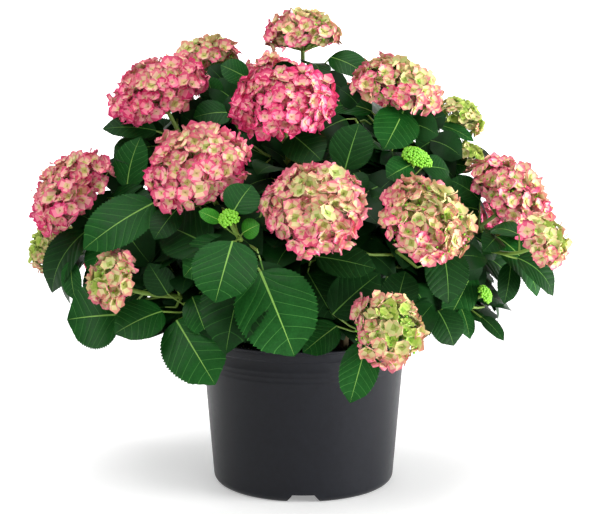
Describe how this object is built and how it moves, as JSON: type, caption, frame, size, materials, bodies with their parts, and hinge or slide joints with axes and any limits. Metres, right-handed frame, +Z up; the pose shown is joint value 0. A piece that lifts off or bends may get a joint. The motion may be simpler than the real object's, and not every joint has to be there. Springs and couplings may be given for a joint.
{
  "type": "potted hydrangea shrub",
  "caption": "Round bushy potted hydrangea in full bloom: mophead flower heads of pink and cream over broad toothed green leaves, in a plain tapered nursery pot.",
  "frame": {"origin": "centre of the pot's flat underside, on the floor", "axes": "+Z up, -Y the front of the plant, +X to the right seen from the front"},
  "size_m": [0.6798, 0.6509, 0.622],
  "materials": {
    "pot": "satin anthracite grey moulded plastic",
    "soil": "dark crumbly peat and bark compost",
    "cane": "thin woody stems, green above and tan below",
    "foliage": "broad satin green leaves with pale veins, and pink, cream and lime flower heads"
  },
  "bodies": {
    "root": {"pot": "pot", "root_ball": "soil", "cane_top": "cane", "cane_upper_left": "cane", "cane_upper_back": "cane", "cane_upper_middle": "cane", "cane_upper_right": "cane", "cane_right_back": "cane", "cane_middle_left": "cane", "cane_far_left": "cane", "cane_middle": "cane", "cane_middle_right": "cane", "cane_far_right": "cane", "cane_low_left": "cane", "cane_low_right": "cane", "cane_bud_left": "cane", "cane_bud_right": "cane", "cane_bud_low_right": "cane", "cane_leafy_left": "cane", "cane_leafy_upper": "cane", "cane_leafy_crown_left": "cane", "cane_leafy_crown_right": "cane", "cane_rear_low_1": "cane", "cane_rear_low_2": "cane", "cane_rear_low_3": "cane", "cane_rear_low_4": "cane", "cane_rear_low_5": "cane", "cane_rear_high_1": "cane", "cane_rear_high_2": "cane", "cane_rear_leafy_1": "cane", "cane_rear_leafy_2": "cane", "foliage_top": "foliage", "foliage_upper_left": "foliage", "foliage_upper_back": "foliage", "foliage_upper_middle": "foliage", "foliage_upper_right": "foliage", "foliage_right_back": "foliage", "foliage_middle_left": "foliage", "foliage_far_left": "foliage", "foliage_middle": "foliage", "foliage_middle_right": "foliage", "foliage_far_right": "foliage", "foliage_low_left": "foliage", "foliage_low_right": "foliage", "foliage_bud_left": "foliage", "foliage_bud_right": "foliage", "foliage_bud_low_right": "foliage", "foliage_leafy_left": "foliage", "foliage_leafy_upper": "foliage", "foliage_leafy_crown_left": "foliage", "foliage_leafy_crown_right": "foliage", "foliage_rear_low_1": "foliage", "foliage_rear_low_2": "foliage", "foliage_rear_low_3": "foliage", "foliage_rear_low_4": "foliage", "foliage_rear_low_5": "foliage", "foliage_rear_high_1": "foliage", "foliage_rear_high_2": "foliage", "foliage_rear_leafy_1": "foliage", "foliage_rear_leafy_2": "foliage"}
  },
  "joints": []
}
